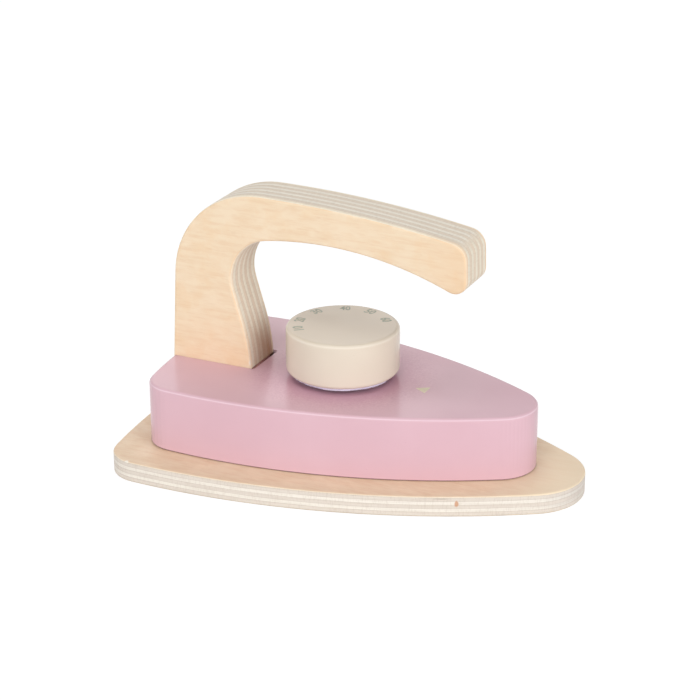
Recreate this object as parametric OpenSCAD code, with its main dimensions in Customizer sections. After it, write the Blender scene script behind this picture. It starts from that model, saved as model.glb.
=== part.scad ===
// Toy iron of plywood and painted wood.
// A plywood sole carries a painted body block. A hooked plywood handle is let into a notch
// at the back of the body, and a turned knob spins on a screw that comes up from below.
// Millimetres. The nose points along +X, the sole rests on Z = 0 and the origin lies under
// the middle of the sole. The part is symmetrical about the plane Y = 0.

/* [Sole plate] */
// Length of the sole from nose to back
sole_l = 172; // [168:1:176]
// Width of the sole at its widest place
sole_w = 113; // [110:1:116]
// Thickness of the sole's plywood
sole_t = 8; // [6.5:0.5:10]
// Thickness of the thin veneer on each face of the sole
sole_face_t = 0.5; // [0.4:0.05:1]
// Radius of the sole's nose, seen from above
sole_nose_r = 21.5; // [18:0.5:25]
// Radius of the sole's long sides
sole_side_r = 252; // [240:1:265]
// Radius of the sole's back corners
sole_corner_r = 13.7; // [11:0.1:17]
// Radius of the sole's back edge
sole_rear_r = 326; // [280:1:380]
// Rounding along the sole's upper and lower edges
sole_edge_r = 0.6; // [0.4:0.1:1.5]

/* [Body block] */
// Length of the body from nose to back
body_l = 144; // [141:1:147]
// Width of the body at its widest place
body_w = 84; // [82:1:87]
// Height of the body block
body_h = 24.6; // [22:0.2:28]
// Distance from the sole's back edge to the body's back
body_setback = 9.3; // [8:0.1:11]
// Radius of the body's nose, seen from above
body_nose_r = 15.2; // [13:0.1:18]
// Radius of the body's long sides
body_side_r = 215; // [206:1:226]
// Radius of the body's back corners
body_corner_r = 12.6; // [10:0.1:15]
// Radius of the body's back face
body_rear_r = 216; // [190:1:250]
// Rounding along the body's upper edge
body_edge_r = 1.3; // [0.8:0.1:2]
// Chamfer along the body's lower edge, which leaves a fine shadow line on the sole
body_foot_c = 0.4; // [0.2:0.05:0.8]

/* [Handle] */
// Thickness of the handle's plywood
handle_t = 20; // [18:0.5:24]
// Height of the handle's crown above the body
handle_h = 68.6; // [66:0.2:72]
// Length of the handle from the foot's back to the tip
handle_reach = 119.8; // [116:0.1:124]
// Length of the handle's foot, along the body
foot_l = 33.3; // [32:0.1:36]
// Forward lean of the leg's back edge, in degrees
back_lean = 2.8; // [1:0.1:5]
// Radius of the big bend at the back of the handle
crook_r = 35.9; // [32:0.1:39]
// Radius of the long curve along the top of the handle
crown_r = 445; // [390:5:510]
// Backward lean of the leg's front edge, in degrees
leg_lean = 16.8; // [12:0.1:20]
// Radius of the bend that sets the leg's front edge upright at the foot
ankle_r = 74; // [50:1:90]
// Height of the middle of that bend above the body
ankle_h = 6.8; // [5:0.1:10]
// Radius of the inner bend, between leg and grip
palm_r = 17.3; // [14:0.1:20]
// Radius of the long hollow under the grip
grip_r = 135; // [125:1:145]
// Depth of the grip above the highest place of that hollow
grip_h = 15.2; // [13:0.1:17]
// Distance from the foot's back to that highest place
grip_x = 61.6; // [59:0.1:64]
// Backward lean of the tip's end, in degrees
tip_lean = 1.6; // [0:0.1:5]
// Radius of the tip's upper corner
tip_top_r = 6.6; // [4:0.1:8]
// Radius of the tip's lower corner
tip_low_r = 4.9; // [3.5:0.1:6]
// Rounding along the handle's edges
handle_edge_r = 1; // [0.6:0.1:2]

/* [Notch for the handle] */
// Gap between the notch and each side of the handle
notch_side_gap = 0.25; // [0.1:0.05:0.5]
// Gap left in front of the handle's foot
notch_front_gap = 1.5; // [0.3:0.1:2.5]
// Radius that the cutter leaves in the notch's front corners
notch_corner_r = 1; // [0.5:0.1:2]

/* [Knob] */
// Diameter of the knob
knob_d = 42.6; // [40:0.1:45]
// Height of the knob
knob_h = 17.4; // [15:0.1:20]
// Distance from the front of the handle's foot to the knob's axis
knob_reach = 33.8; // [32:0.1:36]
// Rounding of the knob's upper edge
knob_top_r = 1.5; // [1:0.1:3]
// Rounding of the knob's lower edge
knob_low_r = 1.6; // [0.8:0.1:2.5]
// Distance that the felt disc stays back from the knob's side
felt_inset = 1.9; // [0.5:0.1:3]
// Thickness of the felt disc
felt_t = 1.2; // [0.8:0.1:2]
// Diameter of the spacer washer that the felt turns on
spacer_d = 16; // [14:0.5:20]
// Thickness of the spacer washer
spacer_t = 1.15; // [0.8:0.05:1.6]

/* [Knob screw] */
// Diameter of the knob screw's shank
shank_d = 4.5; // [4:0.1:5.5]
// Radial running clearance of the shank in the body
shank_gap = 0.08; // [0.05:0.01:0.1]
// Length of the screw inside the knob
shank_bite = 11; // [9:0.5:12.5]
// Diameter of the knob screw's head
head_d = 9; // [8:0.1:10]
// Height of the knob screw's head
head_h = 3; // [2.5:0.1:3.6]
// Diameter of the steel washer above the head
washer_d = 14; // [12:0.5:15]
// Thickness of the steel washer
washer_t = 1.2; // [1:0.1:1.6]
// Gap round the washer in the counterbore under the body
pocket_gap = 1; // [0.5:0.1:3]
// Depth of the counterbore under the body
pocket_h = 8.6; // [8:0.1:10]

/* [Dowels] */
// Diameter of the beech dowels
dowel_d = 8; // [7:0.1:9]
// Depth of a dowel in the handle's foot
foot_dowel_h = 18; // [14:0.5:22]
// Distance between the two dowels in the handle's foot
foot_dowel_pitch = 17; // [15:0.5:18]
// Depth of a dowel in the body
body_dowel_h = 15; // [12:0.5:18]
// Distance from the body's nose back to the front dowel
front_dowel_setback = 22; // [18:0.5:28]
// Distance from the front of the notch to the rear dowel
rear_dowel_reach = 9.2; // [7:0.1:10.5]
// Radial gap for the glue round a dowel
glue_gap = 0.05; // [0.02:0.01:0.1]
// Chamfer on a dowel's ends
dowel_chamfer = 0.8; // [0.4:0.1:1]

/* [Hidden] */
// Numbers of veneers in the two panels: odd, so that both faces run the same way
sole_plies = 7;
handle_plies = 11;
// Number of the sole's upper veneers that a dowel's hole goes through
drilled_plies = 4;
$fn = 64;

// Overrun of every cut past the face that it starts from
over = 1;
// Numbers of steps in the arcs of a plan outline: nose, side, corner, rear
plan_steps = [10, 24, 8, 8];
// Numbers of steps in the handle's outer rail (crook, crown, tip) and in its inner rail (ankle,
// palm, grip, tip): both rails come to the same number of points
outer_steps = [24, 24, 8];
inner_steps = [6, 14, 26, 10];
// Steps across a rounded edge, and the least distance of one from a veneer's own face
edge_steps = 4;
step_gap = 0.01;
// Steps round the felt disc, and how far its cut edge wanders, as shares of its radius
felt_steps = 90;
felt_wander_shares = [0.006, 0.005, 0.004];
felt_waves = [3, 7, 16];
// Share of the screw's diameter that its point takes, and of its head that the cross takes
point_share = 0.8;
cross_width_share = 0.16;
cross_span_share = 0.55;
cross_depth_share = 0.5;
// Share of the pan head's height that stands straight before it domes
pan_rim_share = 0.45;
pan_top_share = 0.62;
// Free end left above a screw or a dowel in its hole
hole_end = 0.5;

sole_core_t = (sole_t - 2 * sole_face_t) / (sole_plies - 2);
handle_ply_t = handle_t / handle_plies;
body_top = sole_t + body_h;
body_back_x = -sole_l / 2 + body_setback;
body_mid_x = body_back_x + body_l / 2;
body_nose_x = body_back_x + body_l;
knob_x = body_back_x + foot_l + knob_reach;
felt_z = body_top + spacer_t;
knob_z = felt_z + felt_t;
pocket_z = sole_t + pocket_h;
head_z = pocket_z - washer_t - head_h;
notch_front_x = body_back_x + foot_l + notch_front_gap;
dowel_xs = [body_nose_x - front_dowel_setback, notch_front_x + rear_dowel_reach];
foot_mid_x = body_back_x + foot_l / 2;
foot_dowel_xs = [foot_mid_x - foot_dowel_pitch / 2, foot_mid_x + foot_dowel_pitch / 2];
dowel_z = sole_level(sole_plies - drilled_plies);
dowel_hole_r = dowel_d / 2 + glue_gap;

// Veneer colours: faces, then the edges of the veneers that run lengthwise and of those that cross
face_tint = [0.93, 0.80, 0.66];
long_tint = [0.95, 0.91, 0.84];
cross_tint = [0.83, 0.77, 0.69];

function veneer_tint(i, count) =
    i == 1 || i == count ? face_tint : i % 2 == 1 ? long_tint : cross_tint;

// Height of the upper side of the sole's veneer i above its underside
function sole_level(i) =
    i == 0 ? 0 : i == sole_plies ? sole_t : sole_face_t + (i - 1) * sole_core_t;

// Plane geometry

// Points of an arc round c from angle a0 to a1 in n steps
function arc(c, r, a0, a1, n) =
    [for (i = [0:n]) let (a = a0 + (a1 - a0) * i / n) c + r * [cos(a), sin(a)]];

// The arc's points without the first, which the piece before it already has
function arc_on(c, r, a0, a1, n) =
    [for (i = [1:n]) let (a = a0 + (a1 - a0) * i / n) c + r * [cos(a), sin(a)]];

function bearing(from, to) = atan2(to[1] - from[1], to[0] - from[0]);

function turned(p) = [-p[1], p[0]];

// Where two circles meet, on the left of the way from the first centre to the second
function circles_meet(c1, r1, c2, r2) =
    let (
        way = c2 - c1,
        gap = norm(way),
        along = (r1 * r1 - r2 * r2 + gap * gap) / (2 * gap),
        aside = sqrt(r1 * r1 - along * along)
    )
    c1 + along * way / gap + aside * turned(way) / gap;

// Where a ray from p along the unit vector u leaves the circle round c
function ray_leaves(p, u, c, r) =
    let (
        back = c - p,
        along = back * u,
        aside = back * back - along * along
    )
    p + (along + sqrt(r * r - aside)) * u;

// Insets and rises of a rounded edge of radius r, from the straight side up to the face
function edge_insets(r) = [for (k = [0:edge_steps]) r * (1 - cos(90 * k / edge_steps))];
function edge_rises(r) = [for (k = [0:edge_steps]) r * sin(90 * k / edge_steps)];

// Solids of stacked rings

// Faces between two rings of n points, from ring k to the next one up
function band(k, n) =
    [for (i = [0:n - 1])
        let (j = (i + 1) % n, low = k * n, high = low + n)
        each [[low + i, high + i, high + j], [low + i, high + j, low + j]]];

function lifted(cap, n) = [for (i = [len(cap) - 1:-1:0]) cap[i] + n];

// A closed solid through rings of [x, y] points, each at its own height. The caps are index
// lists, counter-clockwise from above, that fill one ring.
module ring_stack(rings, heights, caps) {
    n = len(rings[0]);
    last = len(rings) - 1;
    points = [for (k = [0:last]) for (p = rings[k]) [p[0], p[1], heights[k]]];
    sides = [for (k = [0:last - 1]) each band(k, n)];
    tops = [for (cap = caps) lifted(cap, last * n)];
    polyhedron(points = points, faces = concat(caps, sides, tops), convexity = 6);
}

// Inset of a panel's edge at height h, for a panel of thickness t with its edges rounded by r
function panel_inset(t, r, h) =
    let (depth = min(h, t - h))
    depth < r ? r - sqrt(r * r - (r - depth) * (r - depth)) : 0;

// Veneer of that panel between two heights. The panel's outline is a function of its inset.
module veneer(outline, t, r, low, high, caps) {
    rises = edge_rises(r);
    lower = [for (k = [edge_steps:-1:0]) r - rises[k]];
    upper = [for (k = [0:edge_steps]) t - r + rises[k]];
    between = [for (h = concat(lower, upper)) if (h > low + step_gap && h < high - step_gap) h];
    heights = concat([low], between, [high]);
    if (low < r || high > t - r)
        ring_stack([for (h = heights) outline(panel_inset(t, r, h))], heights, caps);
    else
        translate([0, 0, low])
            linear_extrude(high - low)
                polygon(outline(0));
}

// Plan outline of the sole and the body

// Boat outline: nose, long sides, back corners and back edge, each an arc that is tangent to the
// next, drawn inset from the true edge by d
function boat(l, w, nose_r, side_r, corner_r, rear_r, d) =
    let (
        half = w / 2,
        nose = [l / 2 - nose_r, 0],
        side_run = sqrt((half - nose_r) * (2 * side_r - nose_r - half)),
        side = [nose[0] - side_run, half - side_r],
        rear = [rear_r - l / 2, 0],
        corner = circles_meet(side, side_r - corner_r, rear, rear_r - corner_r),
        a_nose = bearing(side, nose),
        a_side = bearing(side, corner),
        a_corner = bearing(rear, corner),
        left = concat(
            arc(nose, nose_r - d, 0, a_nose, plan_steps[0]),
            arc_on(side, side_r - d, a_nose, a_side, plan_steps[1]),
            arc_on(corner, corner_r - d, a_side, a_corner, plan_steps[2]),
            arc_on(rear, rear_r - d, a_corner, 180, plan_steps[3])
        ),
        last = len(left) - 1
    )
    concat(left, [for (i = [last - 1:-1:1]) [left[i][0], -left[i][1]]]);

function sole_outline(d) =
    boat(sole_l, sole_w, sole_nose_r, sole_side_r, sole_corner_r, sole_rear_r, d);

function body_outline(d) =
    [for (p = boat(body_l, body_w, body_nose_r, body_side_r, body_corner_r, body_rear_r, d))
        p + [body_mid_x, 0]];

function whole_cap(ring) = [[for (i = [0:len(ring) - 1]) i]];

// Side outline of the handle, in X and Z

crown_z = body_top + handle_h;
hollow_z = crown_z - grip_h;
foot_back = [body_back_x, body_top];
foot_front_x = body_back_x + foot_l;
// Outward directions of the leg's front and the tip's end
front_out = [cos(leg_lean), sin(leg_lean)];
tip_out = [cos(tip_lean), sin(tip_lean)];
tip_mid = [body_back_x + handle_reach, hollow_z];
// Corner that the ankle's arc rounds off, between the upright foot and the leaning leg
ankle = [foot_front_x, body_top + ankle_h];
// Centres of the arcs, each tangent to what comes before and after it
ankle_c = ankle - ankle_r * [1, tan(leg_lean / 2)];
crook_rise = crown_z - crook_r - body_top;
crook_c = [body_back_x + (crook_r + crook_rise * sin(back_lean)) / cos(back_lean), crown_z - crook_r];
crown_c = [crook_c[0], crown_z - crown_r];
grip_c = [body_back_x + grip_x, hollow_z - grip_r];
palm_c = ray_leaves(ankle + palm_r * front_out, turned(front_out), grip_c, grip_r - palm_r);
tip_top_c = ray_leaves(tip_mid - tip_top_r * tip_out, turned(tip_out), crown_c, crown_r - tip_top_r);
tip_low_c = ray_leaves(tip_mid - tip_low_r * tip_out, turned(tip_out), grip_c, grip_r + tip_low_r);

// The foot stands square in its notch, so an inset rail bends a little below the body's top
function outer_rail(d) = concat(
    [[foot_back[0] + d, sole_t], foot_back + d * [1, -tan(back_lean / 2)]],
    arc(crook_c, crook_r - d, 180 - back_lean, 90, outer_steps[0]),
    arc_on(crown_c, crown_r - d, 90, bearing(crown_c, tip_top_c), outer_steps[1]),
    arc_on(tip_top_c, tip_top_r - d, bearing(crown_c, tip_top_c), tip_lean, outer_steps[2])
);

function inner_rail(d) = concat(
    [[foot_front_x - d, sole_t]],
    arc(ankle_c, ankle_r - d, 0, leg_lean, inner_steps[0]),
    arc(palm_c, palm_r + d, 180 + leg_lean, bearing(grip_c, palm_c), inner_steps[1]),
    arc_on(grip_c, grip_r + d, bearing(grip_c, palm_c), bearing(grip_c, tip_low_c), inner_steps[2]),
    arc_on(tip_low_c, tip_low_r - d, bearing(tip_low_c, grip_c), tip_lean, inner_steps[3])
);

// Counter-clockwise: up the inner rail to the tip, then back along the outer rail
function handle_outline(d) =
    let (outer = outer_rail(d), m = len(outer))
    concat(inner_rail(d), [for (i = [m - 1:-1:0]) outer[i]]);

// The hook's face as rungs between the two rails
function hook_caps(n) =
    [for (i = [0:n / 2 - 2]) [i, i + 1, n - 2 - i, n - 1 - i]];

// Pegs and screws

// Turned pin along +Z with a chamfer at both ends
module dowel(h) {
    r = dowel_d / 2;
    c = dowel_chamfer;
    rotate_extrude()
        polygon([[0, 0], [r - c, 0], [r, c], [r, h - c], [r - c, h], [0, h]]);
}

module ring(outer_r, inner_r, h) {
    difference() {
        cylinder(r = outer_r, h = h);
        translate([0, 0, -over])
            cylinder(r = inner_r, h = h + 2 * over);
    }
}

// Sole plate: seven veneers, the upper ones drilled for the dowels

module sole_ply(i) {
    low = sole_level(i - 1);
    high = sole_level(i);
    outline = function(d) sole_outline(d);
    color(veneer_tint(i, sole_plies))
        difference() {
            veneer(outline, sole_t, sole_edge_r, low, high, whole_cap(sole_outline(0)));
            if (i > sole_plies - drilled_plies)
                for (x = concat(dowel_xs, foot_dowel_xs))
                    translate([x, 0, low - over])
                        cylinder(r = dowel_hole_r, h = high - low + 2 * over);
        }
}

// Body block: painted wood with the notch, the knob's bore and blind holes for its dowels

module notch() {
    half = handle_t / 2 + notch_side_gap;
    front = notch_front_x;
    r = notch_corner_r;
    translate([0, 0, sole_t - over])
        linear_extrude(body_h + 2 * over)
            polygon(concat(
                [[body_back_x - over, -half]],
                arc([front - r, r - half], r, -90, 0, edge_steps),
                arc([front - r, half - r], r, 0, 90, edge_steps),
                [[body_back_x - over, half]]
            ));
}

module body_block() {
    c = body_foot_c;
    r = body_edge_r;
    insets = edge_insets(r);
    rises = edge_rises(r);
    steps = [0:edge_steps];
    full = body_outline(0);
    color([0.87, 0.70, 0.74])
        difference() {
            ring_stack(
                concat([body_outline(c), full], [for (k = steps) body_outline(insets[k])]),
                concat([sole_t, sole_t + c], [for (k = steps) body_top - r + rises[k]]),
                whole_cap(full)
            );
            notch();
            translate([knob_x, 0, sole_t - over])
                cylinder(r = washer_d / 2 + pocket_gap, h = pocket_h + over);
            translate([knob_x, 0, sole_t])
                cylinder(r = shank_d / 2 + shank_gap, h = body_h + over);
            for (x = dowel_xs)
                translate([x, 0, sole_t - over])
                    cylinder(r = dowel_hole_r, h = body_dowel_h + hole_end + over);
        }
}

module body_dowels() {
    color([0.88, 0.76, 0.58])
        for (x = dowel_xs)
            translate([x, 0, dowel_z])
                dowel(sole_t - dowel_z + body_dowel_h);
}

// Handle: eleven veneers standing on edge, the middle ones drilled for the dowels

module handle_ply(i) {
    low = (i - 1) * handle_ply_t;
    outline = function(d) handle_outline(d);
    // How far the veneer's nearer face stands from the panel's middle
    nearest = max(0, abs(low + handle_ply_t / 2 - handle_t / 2) - handle_ply_t / 2);
    color(veneer_tint(i, handle_plies))
        difference() {
            rotate([90, 0, 0])
                translate([0, 0, -handle_t / 2])
                    veneer(
                        outline, handle_t, handle_edge_r, low, low + handle_ply_t,
                        hook_caps(len(handle_outline(0)))
                    );
            if (nearest < dowel_hole_r)
                for (x = foot_dowel_xs)
                    translate([x, 0, sole_t - over])
                        cylinder(r = dowel_hole_r, h = foot_dowel_h + hole_end + over);
        }
}

module handle_dowels() {
    color([0.88, 0.76, 0.58])
        for (x = foot_dowel_xs)
            translate([x, 0, dowel_z])
                dowel(sole_t - dowel_z + foot_dowel_h);
}

// Knob and its bearings

module knob() {
    r = knob_d / 2;
    top = knob_top_r;
    low = knob_low_r;
    color([0.92, 0.86, 0.78])
        translate([knob_x, 0, knob_z])
            difference() {
                rotate_extrude()
                    polygon(concat(
                        [[0, 0]],
                        arc([r - low, low], low, -90, 0, 2 * edge_steps),
                        arc([r - top, knob_h - top], top, 0, 90, 2 * edge_steps),
                        [[0, knob_h]]
                    ));
                translate([0, 0, -over])
                    cylinder(r = shank_d / 2 + glue_gap, h = shank_bite + hole_end + over);
            }
}

// Felt cut by hand: its edge wanders by three waves round the disc
function felt_r(a) =
    (knob_d / 2 - felt_inset) * (1 + felt_wander_shares * [for (w = felt_waves) sin(w * a + 90 * w)]);

module felt_disc() {
    color([0.78, 0.74, 0.86])
        translate([knob_x, 0, felt_z])
            difference() {
                linear_extrude(felt_t)
                    polygon([for (i = [0:felt_steps - 1])
                        let (a = 360 * i / felt_steps)
                        felt_r(a) * [cos(a), sin(a)]]);
                translate([0, 0, -over])
                    cylinder(r = shank_d / 2 + glue_gap, h = felt_t + 2 * over);
            }
}

module spacer_washer() {
    color([0.95, 0.94, 0.90])
        translate([knob_x, 0, body_top])
            ring(spacer_d / 2, shank_d / 2 + shank_gap, spacer_t);
}

module screw_washer() {
    color("silver")
        translate([knob_x, 0, pocket_z - washer_t])
            ring(washer_d / 2, shank_d / 2 + shank_gap, washer_t);
}

module knob_screw() {
    shank_r = shank_d / 2;
    head_r = head_d / 2;
    tip_z = knob_z + shank_bite;
    cross_w = cross_width_share * head_d;
    cross_l = cross_span_share * head_d;
    cross_h = cross_depth_share * head_h;
    color("silver")
        translate([knob_x, 0, 0])
            difference() {
                rotate_extrude()
                    polygon([
                        [0, head_z],
                        [pan_top_share * head_r, head_z],
                        [head_r, head_z + (1 - pan_rim_share) * head_h],
                        [head_r, head_z + head_h],
                        [shank_r, head_z + head_h],
                        [shank_r, tip_z - point_share * shank_d],
                        [0, tip_z]
                    ]);
                for (turn = [0, 90])
                    rotate([0, 0, turn])
                        translate([-cross_l / 2, -cross_w / 2, head_z - over])
                            cube([cross_l, cross_w, cross_h + over]);
            }
}

for (i = [1:sole_plies])
    sole_ply(i);
body_block();
body_dowels();
for (i = [1:handle_plies])
    handle_ply(i);
handle_dowels();
knob();
felt_disc();
spacer_washer();
knob_screw();
screw_washer();
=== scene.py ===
"""Toy iron of plywood and painted wood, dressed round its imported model."""
import math
import random
from collections import namedtuple

import bmesh
import bpy
from mathutils import Matrix, Vector


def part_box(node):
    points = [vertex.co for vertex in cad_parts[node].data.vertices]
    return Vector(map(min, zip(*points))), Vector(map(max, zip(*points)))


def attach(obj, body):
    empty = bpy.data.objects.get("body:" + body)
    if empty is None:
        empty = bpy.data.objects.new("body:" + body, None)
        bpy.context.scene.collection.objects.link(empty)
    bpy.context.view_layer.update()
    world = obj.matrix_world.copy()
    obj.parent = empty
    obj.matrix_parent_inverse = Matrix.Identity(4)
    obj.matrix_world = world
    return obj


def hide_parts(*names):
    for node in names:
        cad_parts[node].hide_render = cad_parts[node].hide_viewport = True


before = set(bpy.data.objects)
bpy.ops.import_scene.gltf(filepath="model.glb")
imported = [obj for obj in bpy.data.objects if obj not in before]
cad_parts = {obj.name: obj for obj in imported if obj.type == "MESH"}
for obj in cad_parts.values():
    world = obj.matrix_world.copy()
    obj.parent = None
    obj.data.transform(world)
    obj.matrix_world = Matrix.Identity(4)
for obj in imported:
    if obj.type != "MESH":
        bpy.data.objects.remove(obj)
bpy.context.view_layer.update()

scene = bpy.context.scene
scene.view_settings.view_transform = "Standard"
MM = 0.001


# Camera
# It stands in front of the iron's near side, a little towards the nose, and looks down on it.
# A long lens keeps the outlines almost parallel.

camera_azimuth = 24.90
camera_elevation = 22.48
camera_roll = -0.07
camera_distance = 805.2 * MM
camera_target = Vector((-6.7, 0, 42.7)) * MM
# Blender takes these two in millimetres
camera_sensor = 36
camera_lens = 111.03


def direction(azimuth, elevation):
    """The way out from the iron at those angles in degrees: the first goes round from its near side
    towards its nose, and the second goes up from the floor."""
    turn = math.radians(azimuth)
    rise = math.radians(elevation)
    return Vector((math.sin(turn) * math.cos(rise), -math.cos(turn) * math.cos(rise), math.sin(rise)))


back = direction(camera_azimuth, camera_elevation)
roll = Matrix.Rotation(math.radians(camera_roll), 3, "Z").to_quaternion()
camera = bpy.data.objects.new("camera", bpy.data.cameras.new("camera"))
camera.data.sensor_width = camera_sensor
camera.data.lens = camera_lens
camera.location = camera_target + back * camera_distance
camera.rotation_mode = "QUATERNION"
camera.rotation_quaternion = (-back).to_track_quat("-Z", "Y") @ roll
scene.collection.objects.link(camera)
scene.camera = camera


# Studio
# A white sweep under broad, soft lamps. The strongest light comes from beside the camera and
# low down, so upright faces are brighter than level ones.

def feed(tree, node, inputs):
    """Gives those inputs of a node their values, or links them to where their values come from."""
    for key, value in inputs.items():
        if isinstance(value, bpy.types.NodeSocket):
            tree.links.new(value, node.inputs[key])
        else:
            node.inputs[key].default_value = value


def put(tree, kind, inputs=None, **settings):
    """A new node of that kind, with its settings and its inputs."""
    made = tree.nodes.new(kind)
    for name, value in settings.items():
        setattr(made, name, value)
    feed(tree, made, inputs or {})
    return made


def calc(tree, operation, *values):
    """The result of a Math node on those values."""
    return put(tree, "ShaderNodeMath", dict(enumerate(values)), operation=operation).outputs[0]


def grey(tone):
    """A grey, from 0 for black to 1 for white."""
    return (tone, tone, tone, 1)


def seen_directly(tree):
    """1 where a ray comes from the camera, or by way of a reflection or clear material."""
    rays = put(tree, "ShaderNodeLightPath").outputs
    mirrored = calc(tree, "MAXIMUM", rays["Is Glossy Ray"], rays["Is Transmission Ray"])
    return calc(tree, "MAXIMUM", rays["Is Camera Ray"], mirrored)


room_light = 0.15
backdrop_light = 1

world = bpy.data.worlds.new("studio")
scene.world = world
world.use_nodes = True
tree = world.node_tree
tree.nodes.clear()
room = put(tree, "ShaderNodeBackground", {"Color": grey(1), "Strength": room_light})
backdrop = put(tree, "ShaderNodeBackground", {"Color": grey(1), "Strength": backdrop_light})
mixed = put(tree, "ShaderNodeMixShader", {
    0: seen_directly(tree), 1: room.outputs[0], 2: backdrop.outputs[0],
})
put(tree, "ShaderNodeOutputWorld", {"Surface": mixed.outputs[0]})

lamp_distance = 3
lamp_size = 2


def lamp(name, azimuth, elevation, power):
    """A square area lamp that looks at the iron from that side, with its power in watts."""
    away = direction(azimuth, elevation)
    made = bpy.data.objects.new(name, bpy.data.lights.new(name, "AREA"))
    made.data.shape = "SQUARE"
    made.data.size = lamp_size
    made.data.energy = power
    made.location = camera_target + away * lamp_distance
    made.rotation_mode = "QUATERNION"
    made.rotation_quaternion = away.to_track_quat("Z", "Y")
    scene.collection.objects.link(made)


lamp("front_lamp", azimuth=10, elevation=18, power=36.8)
lamp("nose_lamp", azimuth=71, elevation=18, power=43)
lamp("heel_lamp", azimuth=-60, elevation=20, power=20.8)
lamp("top_lamp", azimuth=0, elevation=85, power=20.8)
lamp("back_lamp", azimuth=-140, elevation=35, power=13.6)

# The floor is pale and matt. Seen directly it is mostly a white glow, and the small rest of its tone
# takes the iron's shadow
floor_size = 8
floor_drop = 0.02 * MM
floor_tone = 0.86
floor_tone_seen = 0.2
floor_glow = 0.9

floor_mesh = bpy.data.meshes.new("floor")
half = floor_size / 2
corners = [(-half, -half), (half, -half), (half, half), (-half, half)]
floor_mesh.from_pydata([(x, y, -floor_drop) for x, y in corners], [], [(0, 1, 2, 3)])
floor = bpy.data.objects.new("floor", floor_mesh)
scene.collection.objects.link(floor)
floor_white = bpy.data.materials.new("floor_white")
floor_white.use_nodes = True
tree = floor_white.node_tree
tree.nodes.clear()
matt = put(tree, "ShaderNodeBsdfDiffuse", {"Color": grey(floor_tone)})
dim = put(tree, "ShaderNodeBsdfDiffuse", {"Color": grey(floor_tone_seen)})
glow = put(tree, "ShaderNodeEmission", {"Color": grey(1), "Strength": floor_glow})
lit = put(tree, "ShaderNodeAddShader", {0: dim.outputs[0], 1: glow.outputs[0]})
mixed = put(tree, "ShaderNodeMixShader", {0: seen_directly(tree), 1: matt.outputs[0], 2: lit.outputs[0]})
put(tree, "ShaderNodeOutputMaterial", {"Surface": mixed.outputs[0]})
floor_mesh.materials.append(floor_white)


# Sole plate
# Seven veneers, two thin birch faces round five of poplar, glued crosswise into one panel, sawn
# to a boat shape and eased at its edges. Clear matt varnish turns the faces peach.

def srgb(red, green, blue):
    """A colour written as it looks on screen, from 0 to 255."""
    parts = [part / 255 for part in (red, green, blue)]
    return tuple(p / 12.92 if p < 0.04045 else ((p + 0.055) / 1.055) ** 2.4 for p in parts) + (1,)


def surface(name, **values):
    """A material with one Principled shader, and the values of those of its sockets."""
    made = bpy.data.materials.new(name)
    made.use_nodes = True
    tree = made.node_tree
    tree.nodes.clear()
    sockets = {key.replace("_", " "): value for key, value in values.items()}
    shader = put(tree, "ShaderNodeBsdfPrincipled", sockets)
    put(tree, "ShaderNodeOutputMaterial", {"Surface": shader.outputs[0]})
    return made, tree, shader


def place_on_piece(tree):
    """Where the point that is looked at lies, in metres from the origin."""
    return put(tree, "ShaderNodeTexCoord").outputs["Object"]


def bumped(tree, height, strength, depth):
    """The normal of a surface that rises by that depth where the height is 1."""
    inputs = {"Height": height, "Strength": strength, "Distance": depth}
    return put(tree, "ShaderNodeBump", inputs).outputs[0]


def ramp(tree, value, low, high, to_low=0.0, to_high=1.0):
    """The value's way from low to high, eased, as a share or between two others."""
    inputs = {"Value": value, "From Min": low, "From Max": high, "To Min": to_low, "To Max": to_high}
    return put(tree, "ShaderNodeMapRange", inputs, interpolation_type="SMOOTHSTEP").outputs[0]


def graded(tree, mask, low, high):
    """A value between the low and the high one, as the mask goes from 0 to 1."""
    return ramp(tree, mask, 0, 1, low, high)


def blend(tree, share, first, second):
    """A mix of two colours."""
    return put(tree, "ShaderNodeMix", {0: share, 6: first, 7: second}, data_type="RGBA").outputs[2]


def between(tree, share, first, second):
    """A mix of two values."""
    return put(tree, "ShaderNodeMix", {0: share, 2: first, 3: second}, data_type="FLOAT").outputs[0]


def tint(tree, colour, other, mask, strength):
    """The colour, with another one laid over it at that strength where the mask is 1."""
    return blend(tree, calc(tree, "MULTIPLY", mask, strength), colour, other)


def vector(tree, operation, *values, result=0, **more):
    """The result of a Vector Math node on those values."""
    inputs = dict(enumerate(values)) | more
    return put(tree, "ShaderNodeVectorMath", inputs, operation=operation).outputs[result]


def along(tree, position, way):
    """How far a position lies along a direction."""
    return vector(tree, "DOT_PRODUCT", position, way, result=1)


def noise(tree, position, size, detail=2.0, roughness=0.5, distortion=0.0):
    """Noise whose lumps are about that size in metres."""
    inputs = {
        "Vector": position, "Scale": 1 / size, "Detail": detail, "Roughness": roughness,
        "Distortion": distortion,
    }
    return put(tree, "ShaderNodeTexNoise", inputs).outputs["Fac"]


def patches(tree, position, size, low=0.35, high=0.65, detail=2.0):
    """A mask of soft patches of about that size, from noise between the low and the high value."""
    return ramp(tree, noise(tree, position, size, detail=detail), low, high)


def drawn_out(tree, position, grain, squeeze):
    """The position, squeezed along the grain so that a pattern on it is drawn out."""
    lengthwise = vector(tree, "SCALE", grain, Scale=along(tree, position, grain))
    across = vector(tree, "SUBTRACT", position, lengthwise)
    return vector(tree, "ADD", across, vector(tree, "SCALE", lengthwise, Scale=squeeze))


def layered(tree, position, across, squeeze):
    """The position, squeezed in the plane of the panel so that a pattern on it lies in thin layers."""
    flat = vector(tree, "SCALE", position, Scale=squeeze)
    rest = calc(tree, "MULTIPLY", along(tree, position, across), 1 - squeeze)
    return vector(tree, "ADD", flat, vector(tree, "SCALE", across, Scale=rest))


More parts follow.
